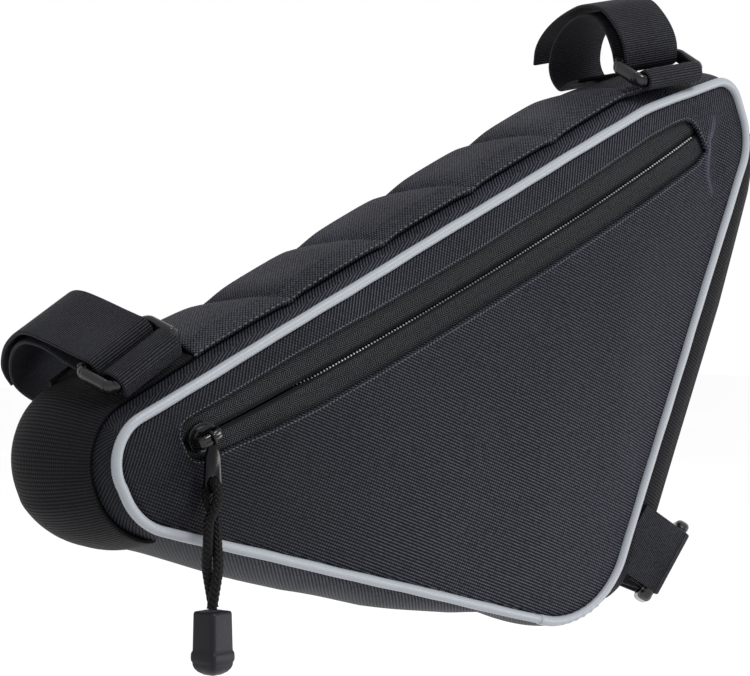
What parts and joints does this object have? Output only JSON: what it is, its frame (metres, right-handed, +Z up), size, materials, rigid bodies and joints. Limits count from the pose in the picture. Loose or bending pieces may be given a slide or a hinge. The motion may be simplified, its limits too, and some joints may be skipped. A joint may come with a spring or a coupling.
{
  "type": "bicycle frame bag",
  "caption": "Triangular soft bag that hangs inside a bicycle frame from hook-and-loop straps, with a zip along its side.",
  "frame": {"origin": "on the axis of the top tube that the two upper straps go round, midway between those straps", "axes": "+Z up, the bag's front panel faces -Y, and its top edge rises towards +X by 25 degrees, as under a sloping top tube"},
  "size_m": [0.3105, 0.0852, 0.2307],
  "materials": {
    "bag cloth": "fine woven cloth, matt",
    "band cloth": "padded woven cloth, matt",
    "webbing": "ribbed strap webbing",
    "reflective piping": "coated tape, satin",
    "zip tape": "coil zip tape",
    "black metal": "gloss enamel",
    "gloss plastic": "moulded, glossy",
    "pull cord": "braided",
    "moulded rubber": "moulded, satin"
  },
  "bodies": {
    "bag": {"back_panel": "bag cloth", "front_panel": "bag cloth", "gusset": "bag cloth", "left_ring": "gloss plastic", "left_ring_tab": "webbing", "left_strap": "webbing", "lower_ring": "gloss plastic", "lower_ring_tab": "webbing", "lower_strap": "webbing", "nose_webbing": "webbing", "piping": "reflective piping", "right_ring": "gloss plastic", "right_ring_tab": "webbing", "right_strap": "webbing", "side_webbing": "webbing", "top_band": "band cloth", "zip_coil": "zip tape", "zip_slider": "black metal", "zip_tape_lower": "zip tape", "zip_tape_upper": "zip tape"},
    "pull": {"pull_tab": "black metal", "pull_cord": "pull cord", "pull_end": "moulded rubber"}
  },
  "joints": [
    {"name": "pull_swing", "type": "hinge", "parent": "bag", "child": "pull", "pos_m": [-0.08794, -0.03339, -0.09513], "axis": [-0.9063, 0, -0.4226], "range_deg": [0, 120]}
  ]
}
